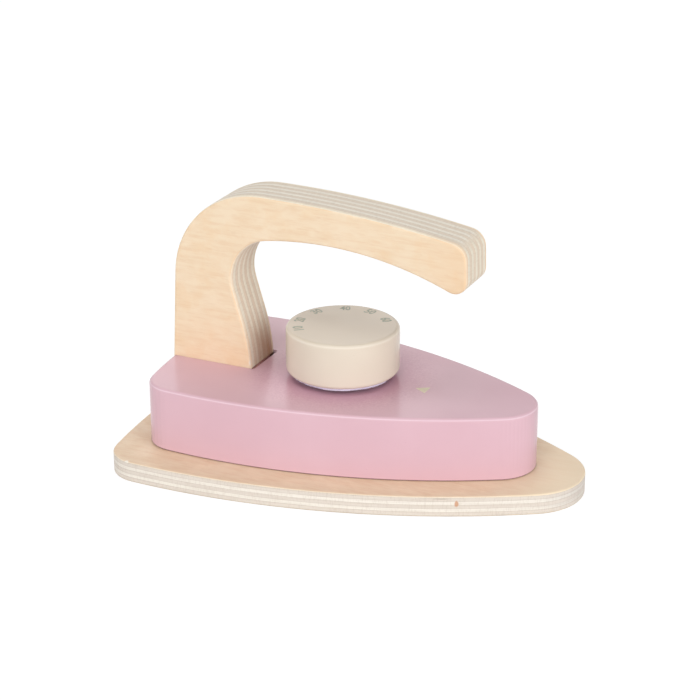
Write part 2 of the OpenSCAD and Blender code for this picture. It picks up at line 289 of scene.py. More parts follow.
def shader_group(name, inputs, outputs):
    """An empty shader group with those sockets, what it is given, and its output node."""
    made = bpy.data.node_groups.new(name, "ShaderNodeTree")
    for key, kind in inputs.items():
        made.interface.new_socket(key, in_out="INPUT", socket_type="NodeSocket" + kind)
    for key, kind in outputs.items():
        made.interface.new_socket(key, in_out="OUTPUT", socket_type="NodeSocket" + kind)
    return made, put(made, "NodeGroupInput").outputs, put(made, "NodeGroupOutput")


def place(tree, group, inputs):
    """What a group puts out, placed in a material with those inputs."""
    return put(tree, "ShaderNodeGroup", inputs, node_tree=group).outputs


# Grain of a peeled veneer: slow figure, fine fibres and short flecks, all drawn out along it. Each
# has its size across the grain, how far it is squeezed, its noise, and the range of noise that shows
grain_patterns = {
    "Figure": (2.4 * MM, 0.3, {"detail": 4, "distortion": 0.2}, (0.32, 0.68)),
    "Fibre": (0.8 * MM, 0.06, {"detail": 3, "roughness": 0.62}, (0.3, 0.7)),
    "Fleck": (0.8 * MM, 0.15, {"detail": 1}, (0.64, 0.76)),
}

wood_grain, given, result = shader_group(
    "wood_grain",
    {"Position": "Vector", "Grain": "Vector"},
    dict.fromkeys(grain_patterns, "Float"),
)
for key, (size, squeeze, texture, shown) in grain_patterns.items():
    stretched = drawn_out(wood_grain, given["Position"], given["Grain"], squeeze)
    pattern = noise(wood_grain, stretched, size, **texture)
    feed(wood_grain, result, {key: ramp(wood_grain, pattern, *shown)})

# Edge of a stack of veneers: a glue line wherever the way across the panel comes to a joint, a tone
# of its own for each veneer, thin lines where the knife left growth rings, and pores in end grain.
# The glue line fades from its core to its rim, both as shares of its width, which wavers with noise
glue_waver = 2.5 * MM
glue_rim = 1.0
glue_core = 0.3
noise_mean = 0.5
ring_size = 0.5 * MM
ring_squeeze = 0.03
ring_shown = (0.4, 0.62)
pore_size = 0.5 * MM
pore_squeeze = 0.25
pore_shown = (0.48, 0.66)

panel_edge, given, result = shader_group(
    "panel_edge",
    {
        "Position": "Vector", "Across": "Vector", "First": "Float", "Pitch": "Float", "Last": "Float",
        "Width": "Float",
    },
    {"Glue": "Float", "Tone": "Float", "Rings": "Float", "Pores": "Float"},
)
position = given["Position"]
across = given["Across"]
steps = calc(panel_edge, "SUBTRACT", along(panel_edge, position, across), given["First"])
steps = calc(panel_edge, "DIVIDE", steps, given["Pitch"])
joint = calc(panel_edge, "MINIMUM", calc(panel_edge, "MAXIMUM", steps, 0), given["Last"])
off = calc(panel_edge, "SUBTRACT", steps, calc(panel_edge, "ROUND", joint))
distance = calc(panel_edge, "MULTIPLY", calc(panel_edge, "ABSOLUTE", off), given["Pitch"])
waver = calc(panel_edge, "ADD", noise(panel_edge, position, glue_waver), 1 - noise_mean)
width = calc(panel_edge, "MULTIPLY", waver, given["Width"])
glue = ramp(panel_edge, calc(panel_edge, "DIVIDE", distance, width), glue_rim, glue_core)
veneer_middle = calc(panel_edge, "ADD", calc(panel_edge, "FLOOR", steps), 1 / 2)
tone = put(panel_edge, "ShaderNodeTexWhiteNoise", {"W": veneer_middle}, noise_dimensions="1D")
rings = noise(panel_edge, layered(panel_edge, position, across, ring_squeeze), ring_size, detail=1)
upended = drawn_out(panel_edge, position, across, pore_squeeze)
pores = noise(panel_edge, upended, pore_size, detail=2, roughness=0.6)
feed(panel_edge, result, {
    "Glue": glue, "Tone": tone.outputs["Value"], "Rings": ramp(panel_edge, rings, *ring_shown),
    "Pores": ramp(panel_edge, pores, *pore_shown),
})

# An oval for a mark or a painted shade: 1 inside it round its centre, ragged at its rim
mark_ragged_size = 0.7 * MM
mark_raggedness = 0.5
mark_rim = 1.35
mark_core = 0.85

ragged_oval, given, result = shader_group(
    "ragged_oval",
    {"Position": "Vector", "Centre": "Vector", "Reach": "Vector"},
    {"Mask": "Float"},
)
away = vector(ragged_oval, "SUBTRACT", given["Position"], given["Centre"])
away = vector(ragged_oval, "LENGTH", vector(ragged_oval, "DIVIDE", away, given["Reach"]), result=1)
unevenness = noise(ragged_oval, given["Position"], mark_ragged_size)
ragged = calc(ragged_oval, "ADD", away, calc(ragged_oval, "MULTIPLY", unevenness, mark_raggedness))
feed(ragged_oval, result, {"Mask": ramp(ragged_oval, ragged, mark_rim, mark_core)})

# A box with soft sides: 1 inside it, deeper than its softness
within_box, given, result = shader_group(
    "within_box",
    {"Position": "Vector", "Middle": "Vector", "Half": "Vector", "Softness": "Float"},
    {"Mask": "Float"},
)
away = vector(within_box, "SUBTRACT", given["Position"], given["Middle"])
away = vector(within_box, "SUBTRACT", vector(within_box, "ABSOLUTE", away), given["Half"])
parts = put(within_box, "ShaderNodeSeparateXYZ", {0: away}).outputs
farthest = calc(within_box, "MAXIMUM", calc(within_box, "MAXIMUM", parts[0], parts[1]), parts[2])
inside = calc(within_box, "DIVIDE", farthest, calc(within_box, "MULTIPLY", given["Softness"], -1))
feed(within_box, result, {"Mask": ramp(within_box, inside, 0, 1)})


# Tints fill an oval or a box, for real wear or for painted light and shade. The box goes from its middle
# by half its size each way, and one metre takes it past the ends of the iron
MarkOrShade = namedtuple("MarkOrShade", "centre reach strength colour")
StainOrPaintedLight = namedtuple("StainOrPaintedLight", "middle half softness strength colour")
past_the_iron = 1


def band(height, half, softness, strength, colour):
    """A band all round a piece, as far as half its width above and below a height: a real tint or a
    painted light or shade.
    """
    middle = Vector((0, 0, height))
    return StainOrPaintedLight(middle, Vector((past_the_iron, past_the_iron, half)), softness, strength, colour)


def with_wear_and_painted_light(tree, position, colour, marks_or_shades, stains_or_painted_light):
    """The colour tinted in its ovals and, over them, in its boxes: real wear, and painted light and
    shade.
    """
    for mark_or_shade in marks_or_shades:
        oval = place(tree, ragged_oval, {"Position": position, "Centre": mark_or_shade.centre, "Reach": mark_or_shade.reach})
        colour = tint(tree, colour, mark_or_shade.colour, oval["Mask"], mark_or_shade.strength)
    for stain_or_light in stains_or_painted_light:
        box = place(tree, within_box, {
            "Position": position, "Middle": stain_or_light.middle, "Half": stain_or_light.half,
            "Softness": stain_or_light.softness,
        })
        colour = tint(tree, colour, stain_or_light.colour, box["Mask"], stain_or_light.strength)
    return colour


# Varnished face of a veneer: strengths of its looks, and sizes of its patches and clouds
figure_strength = 0.23
fleck_strength = 0.16
rim_strength = 0.5
rim_patch = 6 * MM
cloud_strength = 0.3
cloud_size = 11 * MM
cloud_shown = (0.47, 0.66)
face_roughness = (0.42, 0.52)
# How squarely the surface faces the way across the panel, where the rim begins and ends
rim_inner = (0.97, 0.88)
rim_outer = (0.5, 0.8)


def varnished(tree, position, facing, grain, colours):
    """Colour, height and roughness of a varnished face: fibres, figure and flecks of the wood, deeper
    varnish in places along the rim, and soft clouds of it all over."""
    light, streak, brown, deep = colours
    wood = place(tree, wood_grain, {"Position": position, "Grain": grain})
    colour = blend(tree, calc(tree, "MULTIPLY", wood["Fibre"], wood["Figure"]), light, streak)
    colour = tint(tree, colour, streak, wood["Figure"], figure_strength)
    colour = tint(tree, colour, brown, wood["Fleck"], fleck_strength)
    rim = calc(tree, "MULTIPLY", ramp(tree, facing, *rim_inner), ramp(tree, facing, *rim_outer))
    patchy = patches(tree, position, rim_patch, high=0.6)
    colour = tint(tree, colour, deep, calc(tree, "MULTIPLY", rim, patchy), rim_strength)
    cloudy = noise(tree, position, cloud_size, detail=5, roughness=0.65)
    colour = tint(tree, colour, deep, ramp(tree, cloudy, *cloud_shown), cloud_strength)
    return colour, wood["Fibre"], graded(tree, wood["Figure"], *face_roughness)


# Sawn edge of a veneer: strength and colour of each of its looks, and how squarely it faces along the
# grain or across the panel where side grain gives way to end grain, and edge to face
edge_shadow = srgb(176, 156, 138)
edge_looks = {
    "Tone": (0.04, edge_shadow), "Rings": (0.11, edge_shadow), "Pores": (0.15, srgb(184, 164, 146)),
    "Glue": (0.34, srgb(150, 122, 98)),
}
glue_width = 0.11 * MM
edge_roughness = 0.58
pore_roughness = 0.12
end_grain_turn = (0.35, 0.9)
face_turn = (0.55, 0.86)


# A panel's veneers: the way across it, where the first joint lies that way, the pitch of the joints,
# and the number of the last one, counted from 0
Layers = namedtuple("Layers", "across first pitch last")


def veneer(name, grain, layers, colours, face=None, marks_or_shades=(), stains_or_painted_light=()):
    """Material of a veneer: side grain, end grain and the glue on its edges, and a varnished face if
    it is an outer one."""
    side, end = colours
    made, tree, shader = surface(name, Specular_IOR_Level=0.3)
    position = place_on_piece(tree)
    normal = put(tree, "ShaderNodeTexCoord").outputs["Normal"]
    edge = place(tree, panel_edge, {
        "Position": position, "Across": layers.across, "First": layers.first, "Pitch": layers.pitch,
        "Last": layers.last, "Width": glue_width,
    })
    ending = calc(tree, "ABSOLUTE", along(tree, normal, grain))
    colour = blend(tree, ramp(tree, ending, *end_grain_turn), side, end)
    for key, (strength, look) in edge_looks.items():
        colour = tint(tree, colour, look, edge[key], strength)
    height = calc(tree, "SUBTRACT", edge["Rings"], edge["Glue"])
    rough = calc(tree, "ADD", calc(tree, "MULTIPLY", edge["Pores"], pore_roughness), edge_roughness)
    if face:
        facing = calc(tree, "ABSOLUTE", along(tree, normal, layers.across))
        on_face = ramp(tree, facing, *face_turn)
        face_colour, face_height, face_rough = varnished(tree, position, facing, grain, face)
        colour = blend(tree, on_face, colour, face_colour)
        height = between(tree, on_face, height, face_height)
        rough = between(tree, on_face, rough, face_rough)
    colour = with_wear_and_painted_light(tree, position, colour, marks_or_shades, stains_or_painted_light)
    feed(tree, shader, {
        "Base Color": colour, "Roughness": rough,
        "Normal": bumped(tree, height, strength=0.22, depth=0.03 * MM),
    })
    return made


def dress(node, finish):
    """Gives a CAD node its material."""
    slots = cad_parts[node].data.materials
    slots.clear()
    slots.append(finish)


def dress_panel(plies, face, long, cross):
    """Gives a panel's veneers their materials: a face to the outer ones, and the others by turns."""
    for i, node in enumerate(plies):
        outer = node in (plies[0], plies[-1])
        dress(node, face if outer else (cross if i % 2 else long))


lengthways = (1, 0, 0)
sideways = (0, 1, 0)
upright = (0, 0, 1)
sole_plies = [f"sole_ply_{i}" for i in range(1, 8)]
sole_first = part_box("sole_ply_1")[1].z
sole_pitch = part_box("sole_ply_2")[1].z - sole_first
sole_layers = Layers(upright, sole_first, sole_pitch, last=len(sole_plies) - 2)

# A face has its wood, streaks, flecks and deep varnish, and an edge its side grain and end grain
sole_face_colours = (srgb(237, 214, 184), srgb(229, 199, 166), srgb(202, 158, 120), srgb(251, 228, 198))
sole_rim_colours = (srgb(244, 230, 210), srgb(238, 224, 206))
bright_poplar = (srgb(246, 239, 228), srgb(233, 226, 217))
dull_poplar = (srgb(228, 218, 208), srgb(231, 221, 209))

# A knot and a slit that the glue missed, both near the nose, and a chip at the heel
knot = MarkOrShade(
    centre=Vector((50.1, -32.3, 5.2)) * MM, reach=Vector((0.75, 2, 1.35)) * MM,
    strength=0.85, colour=srgb(208, 152, 114),
)
slit = MarkOrShade(
    centre=Vector((44.9, -34.7, 7.15)) * MM, reach=Vector((3, 3, 0.18)) * MM,
    strength=0.5, colour=srgb(150, 125, 105),
)
chip = MarkOrShade(
    centre=Vector((-71.8, -56, 7.7)) * MM, reach=Vector((1, 1.5, 0.5)) * MM,
    strength=0.8, colour=srgb(252, 246, 236),
)

# The veneer is lighter toward the nose, a painted light, and darker along its lowest edge, a painted
# shade
painted_nose_light = StainOrPaintedLight(
    middle=Vector((110 * MM, 0, 0)), half=Vector((55 * MM, past_the_iron, past_the_iron)),
    softness=22 * MM, strength=0.75, colour=srgb(254, 235, 204),
)
painted_floor_shade = band(
    height=0, half=0.5 * MM, softness=0.14 * MM, strength=0.55, colour=srgb(176, 158, 136),
)

sole_face = veneer(
    "birch_face_level", lengthways, sole_layers, sole_rim_colours, sole_face_colours,
    marks_or_shades=[chip], stains_or_painted_light=[painted_nose_light, painted_floor_shade],
)
sole_long = veneer("poplar_long_level", lengthways, sole_layers, bright_poplar, marks_or_shades=[knot])
sole_cross = veneer("poplar_cross_level", sideways, sole_layers, dull_poplar, marks_or_shades=[knot, slit])
dress_panel(sole_plies, sole_face, sole_long, sole_cross)


# Pegs
# Four turned beech dowels, chamfered at both ends. Two locate the body on the sole, and two go up
# into the handle's foot, all glued in before the parts are pressed together.

beech_light = srgb(226, 193, 156)
beech_dark = srgb(206, 168, 128)
beech_fleck = srgb(176, 128, 88)
beech_roughness = (0.6, 0.75)

beech, tree, shader = surface("turned_beech", Specular_IOR_Level=0.3)
wood = place(tree, wood_grain, {"Position": place_on_piece(tree), "Grain": upright})
colour = blend(tree, wood["Fibre"], beech_light, beech_dark)
feed(tree, shader, {
    "Base Color": tint(tree, colour, beech_fleck, wood["Fleck"], strength=0.7),
    "Roughness": graded(tree, wood["Fibre"], *beech_roughness),
    "Normal": bumped(tree, wood["Fibre"], strength=0.4, depth=0.04 * MM),
})
for node in ("body_dowels", "handle_dowels"):
    dress(node, beech)


# Body block
# One block of hardwood, moulded round along its top edge, slotted at the back for the handle and
# sprayed with satin pink paint before it is glued to the sole.

# Sprayed paint: faint clouds of tone, a fine skin like orange peel and a few specks of dust, with
# the grain of the wood just showing through
spray_cloud = 26 * MM
spray_speck = 0.7 * MM
spray_speck_shown = (0.83, 0.9)
spray_peel = 1.1 * MM
raised_size = 1.6 * MM
raised_squeeze = 0.05
raised_share = 0.4

sprayed, given, result = shader_group(
    "sprayed_paint",
    {"Position": "Vector", "Grain": "Vector"},
    {"Cloud": "Float", "Speck": "Float", "Height": "Float"},
)
position = given["Position"]
cloud = patches(sprayed, position, spray_cloud, low=0.3, high=0.7)
speck = patches(sprayed, position, spray_speck, *spray_speck_shown, detail=0)
peel = noise(sprayed, position, spray_peel, detail=1)
raised = noise(sprayed, drawn_out(sprayed, position, given["Grain"], raised_squeeze), raised_size)
height = calc(sprayed, "ADD", calc(sprayed, "MULTIPLY", raised, raised_share), peel)
feed(sprayed, result, {"Cloud": cloud, "Speck": speck, "Height": height})

# Roughness goes up by this in the clouds of the paint
paint_spread = 0.05


def paint(name, colours, grain, roughness, marks_or_shades=(), stains_or_painted_light=()):
    """Satin paint on wood: a light and a deeper tone of its colour, that of its dust, its wear, and the
    light and shade painted on it.
    """
    light, deep, dust = colours
    made, tree, shader = surface(name, Specular_IOR_Level=0.15)
    position = place_on_piece(tree)
    coat = place(tree, sprayed, {"Position": position, "Grain": grain})
    colour = blend(tree, coat["Cloud"], light, deep)
    colour = tint(tree, colour, dust, coat["Speck"], strength=0.3)
    colour = with_wear_and_painted_light(tree, position, colour, marks_or_shades, stains_or_painted_light)
    feed(tree, shader, {
        "Base Color": colour,
        "Roughness": graded(tree, coat["Cloud"], roughness, roughness + paint_spread),
        "Normal": bumped(tree, coat["Height"], strength=0.2, depth=0.04 * MM),
    })
    return made


pink = (srgb(227, 189, 200), srgb(224, 185, 196), srgb(204, 160, 172))
body_low, body_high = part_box("body_block")
body_top = body_high.z

# Inside the notch, up to a little below the body's top, the paint is nearly black: a painted shade
notch_x = body_low.x + 18 * MM
notch_y = 3 * MM
notch_half_length = 17.6 * MM
notch_half_width = 11 * MM
notch_half_depth = 25 * MM
notch_below = 0.15 * MM
notch_middle = Vector((notch_x, notch_y, body_top - notch_half_depth - notch_below))
body_notch_shade = StainOrPaintedLight(
    notch_middle, Vector((notch_half_length, notch_half_width, notch_half_depth)),
    softness=2.5 * MM, strength=0.9, colour=srgb(70, 44, 48),
)

# A painted shade darkens the joint with the sole, and a painted highlight lightens the top edge
painted_joint_shade = band(
    height=body_low.z, half=0.6 * MM, softness=0.35 * MM, strength=0.8, colour=srgb(112, 66, 70),
)
painted_edge_highlight = band(
    height=body_top - 0.62 * MM, half=0.3 * MM, softness=0.25 * MM, strength=0.45,
    colour=srgb(250, 228, 236),
)

# Under and round the knob the paint is darker and more purple: a painted shade and reflection of the knob
knob_low, knob_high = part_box("knob")
knob_axis = ((knob_low + knob_high) / 2).xy.to_3d()
painted_knob_shade = MarkOrShade(
    centre=knob_axis + Vector((0, 0, body_top)), reach=Vector((35, 35, 4)) * MM,
    strength=0.42, colour=srgb(184, 125, 150),
)

dress("body_block", paint(
    "pink_paint", pink, lengthways, roughness=0.2, marks_or_shades=[painted_knob_shade], stains_or_painted_light=[body_notch_shade, painted_joint_shade, painted_edge_highlight],
))


# Pointer
# A small triangle of cream ink, pad printed on the body in front of the knob. It points at the
# knob, and the number on the dial that stands over it is the chosen heat.

# The triangle lies along the iron, a little off its middle to the near side
pointer_tip_x = 20.6 * MM
pointer_base_x = 25.3 * MM
pointer_side = 1.2 * MM
pointer_half = 2.9 * MM
pointer_cream = srgb(232, 222, 194)
pointer_worn = srgb(224, 200, 190)
ink_thickness = 0.04 * MM
ink_patch = 0.5 * MM


def ink(name, colour, worn):
    """Matt printing ink, thin in places so that the paint under it shows."""
    made, tree, shader = surface(name, Roughness=0.55, Specular_IOR_Level=0.35)
    thin = patches(tree, place_on_piece(tree), ink_patch, low=0.45, high=0.7)
    feed(tree, shader, {
        "Base Color": tint(tree, colour, worn, thin, strength=0.35),
        "Normal": bumped(tree, thin, strength=0.15, depth=0.02 * MM),
    })
    return made


def piece(name, mesh, finish, body):
    """A new piece from a mesh or a bmesh: it rides on a body and wears that finish."""
    if isinstance(mesh, bmesh.types.BMesh):
        made = bpy.data.meshes.new(name)
        bmesh.ops.recalc_face_normals(mesh, faces=mesh.faces)
        mesh.to_mesh(made)
        mesh.free()
        mesh = made
    made = bpy.data.objects.new(name, mesh)
    mesh.materials.clear()
    mesh.materials.append(finish)
    scene.collection.objects.link(made)
    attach(made, body)
    return made


shape = bmesh.new()
corners = [(pointer_tip_x, 0), (pointer_base_x, -pointer_half), (pointer_base_x, pointer_half)]
underside = shape.faces.new([shape.verts.new((x, y - pointer_side, body_top)) for x, y in corners])
pulled = bmesh.ops.extrude_face_region(shape, geom=[underside], use_keep_orig=True)["geom"]
raised = [part for part in pulled if isinstance(part, bmesh.types.BMVert)]
bmesh.ops.translate(shape, vec=(0, 0, ink_thickness), verts=raised)
piece("pointer_print", shape, ink("cream_ink", pointer_cream, pointer_worn), "iron")


# Handle
# Eleven veneers on edge, sawn to a hook and eased by hand along both faces. The middle ones are
# drilled from below for the pegs, and the foot stands in the notch of the body.

handle_plies = [f"handle_ply_{i}" for i in range(1, 12)]
handle_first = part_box("handle_ply_11")[1].y
handle_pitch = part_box("handle_ply_10")[1].y - handle_first
handle_layers = Layers(sideways, handle_first, handle_pitch, last=len(handle_plies) - 2)

handle_face_colours = (srgb(246, 225, 196), srgb(239, 211, 177), srgb(220, 180, 140), srgb(240, 204, 160))
handle_rim_colours = (srgb(255, 243, 222), srgb(255, 238, 213))
pale_birch = (srgb(255, 247, 233), srgb(240, 222, 199))
dark_birch = (srgb(253, 243, 225), srgb(240, 226, 206))

# The varnish is deeper toward the foot; the tip of the grip is darker and more orange, a painted shade
deeper = band(
    height=body_top, half=40 * MM, softness=50 * MM, strength=0.2, colour=srgb(248, 216, 172),
)
tip_shade = StainOrPaintedLight(
    middle=Vector((50, 0, 90)) * MM, half=Vector((30, 60, 60)) * MM,
    softness=25 * MM, strength=0.35, colour=srgb(240, 198, 154),
)

# In the notch the foot is nearly black, a painted shade of the recess; close above it its edges are
# browner, a painted shade near the foot; and its near corner is chipped
foot_notch_shade_below = 0.1 * MM
foot_notch_shade = StainOrPaintedLight(
    middle=Vector((notch_x, notch_y, 0)),
    half=Vector((notch_half_length, notch_half_width, body_top - foot_notch_shade_below)),
    softness=0.6 * MM, strength=0.9, colour=srgb(74, 50, 42),
)
foot_shade = StainOrPaintedLight(
    middle=Vector((-25 * MM, 20 * MM, body_top)), half=Vector((37, 29, 17)) * MM,
    softness=17 * MM, strength=0.72, colour=srgb(176, 122, 80),
)
ankle_chip = MarkOrShade(
    centre=Vector((-43.6, -9.4, 34.6)) * MM, reach=Vector((1.2, 0.8, 1.2)) * MM,
    strength=0.8, colour=srgb(250, 243, 232),
)

handle_face = veneer(
    "birch_face_upright", lengthways, handle_layers, handle_rim_colours, handle_face_colours,
    marks_or_shades=[ankle_chip], stains_or_painted_light=[deeper, tip_shade, foot_notch_shade],
)
foot_shades = [foot_shade, foot_notch_shade]
handle_long = veneer("birch_long_upright", lengthways, handle_layers, pale_birch, stains_or_painted_light=foot_shades)
handle_cross = veneer("birch_cross_upright", upright, handle_layers, dark_birch, stains_or_painted_light=foot_shades)
dress_panel(handle_plies, handle_face, handle_long, handle_cross)

# Glue in the gap that the foot leaves at the front of its notch: it fills the near end and runs out
# toward the far one. Its rows of points go across the gap, and only the first ones span it
glue_back = -43.38 * MM
glue_front = -41.92 * MM
glue_start = -9.2 * MM
glue_step = 1.5 * MM
glue_rows = 11
glue_full_rows = 1
glue_depth = 4 * MM
glue_sunk = 0.25 * MM
glue_sag = 0.12 * MM
glue_patch = 0.8 * MM
glue_pale = srgb(180, 124, 122)
glue_dark = srgb(150, 100, 98)
glue_roughness = (0.45, 0.6)


def skin(shape, rows):
    """Faces from each row of points to the next, all the way round the rows."""
    for row, onward in zip(rows, rows[1:]):
        for j in range(len(row)):
            k = (j + 1) % len(row)
            shape.faces.new((row[j], onward[j], onward[k], row[k]))


draw = random.Random(5)
shape = bmesh.new()
rows = []
for i in range(glue_rows):
    share = min(1, (glue_rows - i) / (glue_rows - glue_full_rows))
    front = glue_back + (glue_front - glue_back) * share
    middle = (glue_back + front) / 2
    bottom = body_top - glue_depth
    top = body_top - glue_sunk - draw.uniform(0, glue_sag)
    points = [
        (glue_back, bottom), (front, bottom), (front, top), (middle, top - glue_sag * share),
        (glue_back, top),
    ]
    rows.append([shape.verts.new((x, glue_start + i * glue_step, z)) for x, z in points])
skin(shape, rows)
for row in (rows[0], rows[-1]):
    shape.faces.new(row)

dried_glue, tree, shader = surface("dried_glue", Specular_IOR_Level=0.35)
dusty = patches(tree, place_on_piece(tree), glue_patch)
feed(tree, shader, {
    "Base Color": blend(tree, dusty, glue_pale, glue_dark),
    "Roughness": graded(tree, dusty, *glue_roughness),
    "Normal": bumped(tree, dusty, strength=0.2, depth=0.03 * MM),
})
piece("notch_glue", shape, dried_glue, "iron")


# Screw and washers
# The knob's axle is a zinc-plated pan-head screw from below, on a steel washer in the counterbore.
# A washer of natural nylon holds the knob's felt off the paint.

zinc_blue = srgb(196, 198, 204)
zinc_yellow = srgb(218, 214, 200)
zinc_roughness = (0.3, 0.42)
zinc_bloom = 1.5 * MM
scratch_size = 0.6 * MM
scratch_squeeze = 8

zinc, tree, shader = surface("zinc_plate", Metallic=1.0)
position = place_on_piece(tree)
bloom = patches(tree, position, zinc_bloom, detail=3)
scratched = noise(tree, drawn_out(tree, position, upright, scratch_squeeze), scratch_size)
feed(tree, shader, {
    "Base Color": blend(tree, bloom, zinc_blue, zinc_yellow),
    "Roughness": graded(tree, bloom, *zinc_roughness),
    "Normal": bumped(tree, scratched, strength=0.15, depth=0.02 * MM),
})
for node in ("knob_screw", "screw_washer"):
    dress(node, zinc)

nylon_white = srgb(236, 233, 222)
nylon_aged = srgb(228, 223, 208)
nylon_roughness = (0.4, 0.5)
nylon_haze = 4 * MM
nylon_grain = 0.4 * MM

nylon, tree, shader = surface(
    "natural_nylon", Specular_IOR_Level=0.45, Subsurface_Weight=0.2, Subsurface_Scale=1.5 * MM,
)
position = place_on_piece(tree)
haze = patches(tree, position, nylon_haze)
moulded = noise(tree, position, nylon_grain, detail=1)
feed(tree, shader, {
    "Base Color": blend(tree, haze, nylon_white, nylon_aged),
    "Roughness": graded(tree, haze, *nylon_roughness),
    "Normal": bumped(tree, moulded, strength=0.1, depth=0.02 * MM),
})
dress("spacer_washer", nylon)


# Felt disc
# Lilac wool felt, cut by hand and glued under the knob, so that it turns smoothly and is quiet. Its
# edge wanders and sheds short fibres.

felt_low, felt_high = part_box("felt_disc")
felt_hole = 2.3 * MM
felt_rim_from = 7 * MM
# The felt stays this far inside the CAD disc, and has this many points for each one of its rim
felt_skin = 0.02 * MM
felt_steps = 4
# How far its edge wanders inwards, and how high the scallops go as a share of the thickness
felt_ragged = 0.14 * MM
felt_scallop = 0.5
# Where the scissors nicked the edge, in degrees, how far each nick reaches either way, and how high
# it goes as a share of the thickness
felt_nicks = [261, 246, 318, 40, 130]
nick_reach = 2.2
nick_height = 0.8
# Profile of the felt's edge from below to above: each point as its depth behind the outline in
# millimetres and its height as a share of the thickness
felt_profile = [(0.25, 0), (0.05, 0.12), (0.02, 0.35), (0.04, 0.6), (0.02, 0.85), (0.12, 1)]

felt_shade = srgb(232, 226, 246)
felt_pale = srgb(250, 247, 255)
felt_lilac = srgb(210, 198, 232)
felt_matting = 0.45 * MM
felt_matting_shown = (0.35, 0.7)
felt_dye_patch = 3 * MM
# The lower edge is dark: a painted shade under the rim of the felt
felt_edge_shade = band(
    height=felt_low.z, half=0.26 * MM, softness=0.16 * MM, strength=0.85, colour=srgb(104, 52, 92),
)

felt, tree, shader = surface(
    "lilac_felt", Roughness=0.95, Specular_IOR_Level=0.15, Sheen_Weight=0.35, Sheen_Roughness=0.5,
)
position = place_on_piece(tree)
matted = noise(tree, position, felt_matting, detail=4, roughness=0.7, distortion=1.5)
dyed = patches(tree, position, felt_dye_patch)
colour = blend(tree, ramp(tree, matted, *felt_matting_shown), felt_shade, felt_pale)
colour = tint(tree, colour, felt_lilac, dyed, strength=0.2)
feed(tree, shader, {
    "Base Color": with_wear_and_painted_light(tree, position, colour, marks_or_shades=[], stains_or_painted_light=[felt_edge_shade]),
    "Normal": bumped(tree, matted, strength=0.7, depth=0.15 * MM),
})

# The CAD disc's own rim, once round, without the points of its hole and its doubled points
outline = [v.co.xy.to_3d() - knob_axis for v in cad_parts["felt_disc"].data.vertices]
outline = [p for p in outline if p.length > felt_rim_from]
outline.sort(key=lambda p: math.atan2(p.y, p.x))
outline = [p for p, onward in zip(outline, outline[1:] + outline[:1]) if (p - onward).length > felt_skin]
felt_level = Vector((0, 0, felt_low.z + felt_skin))
felt_thickness = felt_high.z - felt_low.z - 2 * felt_skin

draw = random.Random(7)
scallops = [draw.uniform(0, felt_scallop) ** 2 / felt_scallop for p in outline]
for i, p in enumerate(outline):
    angle = math.degrees(math.atan2(p.y, p.x)) % 360
    if any(abs(angle - nick) < nick_reach for nick in felt_nicks):
        scallops[i] = nick_height
shape = bmesh.new()
rows = []
for i, p in enumerate(outline):
    for step in range(felt_steps):
        onward = (i + 1) % len(outline)
        way = p.lerp(outline[onward], step / felt_steps)
        raised = scallops[i] + (scallops[onward] - scallops[i]) * step / felt_steps
        reach = way.length - felt_skin - draw.uniform(0, felt_ragged)
        way.normalize()
        points = [(felt_hole, 0)]
        for inset, share in felt_profile:
            points.append((reach - inset * MM, max(share, raised if share else 0) * felt_thickness))
        points.append((felt_hole, felt_thickness))
        places = [knob_axis + way * r + felt_level + Vector((0, 0, z)) for r, z in points]
        rows.append([shape.verts.new(spot) for spot in places])
skin(shape, rows + rows[:1])
felt_piece = piece("felt_washer", shape, felt, "dial")
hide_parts("felt_disc")

# Fibres that stand out of the felt's cut edge, wherever its normal points less up or down than the
# slope. Each leans its own way and has its own size, from the smallest share up to the whole
fibre_inputs = {"Density": 1.0e7, "Length": 0.9 * MM, "Thickness": 0.09 * MM, "Seed": 11}
fibre_sides = 3
fibre_slope = 0.6
fibre_lean_low = (-0.9, -0.9, -0.4)
fibre_lean_high = (0.9, 0.9, 0.05)
fibre_smallest = 0.35

fluff = bpy.data.node_groups.new("felt_fibres", "GeometryNodeTree")
fluff.interface.new_socket("Geometry", in_out="INPUT", socket_type="NodeSocketGeometry")
for key, value in fibre_inputs.items():
    kind = "NodeSocketInt" if isinstance(value, int) else "NodeSocketFloat"
    fluff.interface.new_socket(key, in_out="INPUT", socket_type=kind)
fluff.interface.new_socket("Geometry", in_out="OUTPUT", socket_type="NodeSocketGeometry")
given = put(fluff, "NodeGroupInput").outputs
facing = put(fluff, "GeometryNodeInputNormal").outputs[0]
level = calc(fluff, "ABSOLUTE", put(fluff, "ShaderNodeSeparateXYZ", {0: facing}).outputs["Z"])
steep = put(fluff, "FunctionNodeCompare", {0: level, 1: fibre_slope}, operation="LESS_THAN").outputs[0]
spots = put(fluff, "GeometryNodeDistributePointsOnFaces", {
    "Mesh": given["Geometry"], "Selection": steep, "Density": given["Density"], "Seed": given["Seed"],
})
strand = put(fluff, "GeometryNodeMeshCone", {
    "Vertices": fibre_sides, "Radius Top": 0.0, "Radius Bottom": given["Thickness"],
    "Depth": given["Length"],
})
lean = put(fluff, "FunctionNodeRandomValue", {
    "Min": fibre_lean_low, "Max": fibre_lean_high, "Seed": given["Seed"],
}, data_type="FLOAT_VECTOR")
outward = vector(fluff, "ADD", spots.outputs["Normal"], lean.outputs[0])
turned = put(fluff, "FunctionNodeAlignRotationToVector", {"Vector": outward}, axis="Z")
size = put(fluff, "FunctionNodeRandomValue", {
    2: fibre_smallest, 3: 1.0, "Seed": given["Seed"],
}, data_type="FLOAT")
strands = put(fluff, "GeometryNodeInstanceOnPoints", {
    "Points": spots.outputs["Points"], "Instance": strand.outputs["Mesh"], "Rotation": turned.outputs[0],
    "Scale": size.outputs[1],
})
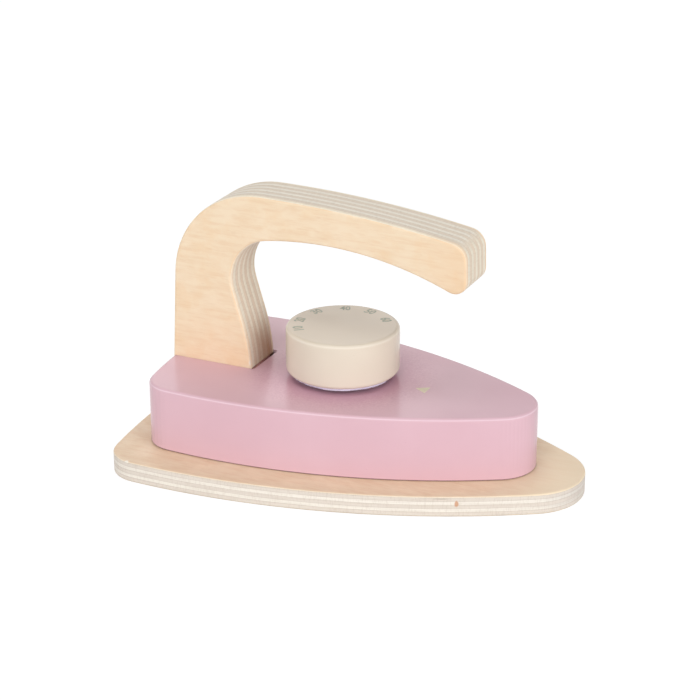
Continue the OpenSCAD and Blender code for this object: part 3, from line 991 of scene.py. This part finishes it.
plain = put(fluff, "GeometryNodeRealizeInstances", {"Geometry": strands.outputs[0]})
felted = put(fluff, "GeometryNodeSetMaterial", {"Geometry": plain.outputs[0], "Material": felt})
put(fluff, "NodeGroupOutput", {"Geometry": felted.outputs[0]})

sockets = {item.name: item.identifier for item in fluff.interface.items_tree if item.in_out == "INPUT"}
carrier = bpy.data.objects.new("fibre_carrier", felt_piece.data.copy())
scene.collection.objects.link(carrier)
modifier = carrier.modifiers.new("fibres", "NODES")
modifier.node_group = fluff
for key, value in fibre_inputs.items():
    modifier[sockets[key]] = value
grown = carrier.evaluated_get(bpy.context.evaluated_depsgraph_get())
fibre_mesh = bpy.data.meshes.new_from_object(grown)
bpy.data.objects.remove(carrier)
piece("felt_fibres", fibre_mesh, felt, "dial")


# Knob
# A turned drum of wood with rounded rims, sprayed cream, that is screwed on last and turns with its
# screw and felt.

cream = (srgb(231, 220, 203), srgb(228, 216, 198), srgb(206, 188, 168))
# The rim is lighter, a painted highlight, and the top a little darker, a painted shade
painted_rim_highlight = band(
    height=knob_high.z - 0.75 * MM, half=0.5 * MM, softness=0.5 * MM, strength=0.24,
    colour=srgb(252, 244, 232),
)
painted_top_shade = band(
    height=knob_high.z, half=0.25 * MM, softness=0.2 * MM, strength=0.12, colour=srgb(190, 168, 142),
)
dress("knob", paint("cream_paint", cream, upright, roughness=0.21, stains_or_painted_light=[painted_rim_highlight, painted_top_shade]))


# Dial numbers
# Six heats, from 10 to 60, printed in grey green round the part of the knob's top that lies away
# from the hand. Their heads point outwards.

number_height = 3.9 * MM
number_width = 4 * MM
number_circle = 16.9 * MM
number_step = 10
# Degrees round the knob from the way to the nose, anticlockwise from above
number_angles = [216, 187, 151, 112, 77, 42]
font_size = 5 * MM
font_weight = 0.07 * MM
font_smoothness = 3
weld_distance = 0.001 * MM
number_green = srgb(160, 168, 152)
number_worn = srgb(196, 194, 178)

dial_mesh = bmesh.new()
for i, number_angle in enumerate(number_angles):
    letters = bpy.data.curves.new("dial_letters", "FONT")
    letters.body = str(number_step * (i + 1))
    letters.size = font_size
    letters.resolution_u = font_smoothness
    letters.extrude = ink_thickness / 2
    letters.offset = font_weight
    holder = bpy.data.objects.new("dial_holder", letters)
    scene.collection.objects.link(holder)
    solid = bpy.data.meshes.new_from_object(holder.evaluated_get(bpy.context.evaluated_depsgraph_get()))
    bpy.data.objects.remove(holder)
    first = len(dial_mesh.verts)
    dial_mesh.from_mesh(solid)
    dial_mesh.verts.ensure_lookup_table()
    verts = dial_mesh.verts[first:]
    low = Vector((min(v.co[k] for v in verts) for k in range(3)))
    high = Vector((max(v.co[k] for v in verts) for k in range(3)))
    centred = Matrix.Translation(-(low + high) / 2)
    size = Matrix.Diagonal((number_width / (high.x - low.x), number_height / (high.y - low.y), 1, 1))
    angle = math.radians(number_angle)
    turn = Matrix.Rotation(angle - math.pi / 2, 4, "Z")
    seat = knob_axis + Vector((math.cos(angle), math.sin(angle), 0)) * number_circle
    seat.z = knob_high.z + ink_thickness / 2
    bmesh.ops.transform(dial_mesh, verts=verts, matrix=Matrix.Translation(seat) @ turn @ size @ centred)
bmesh.ops.remove_doubles(dial_mesh, verts=dial_mesh.verts, dist=weld_distance)
piece("dial_numbers", dial_mesh, ink("green_grey_ink", number_green, number_worn), "dial")
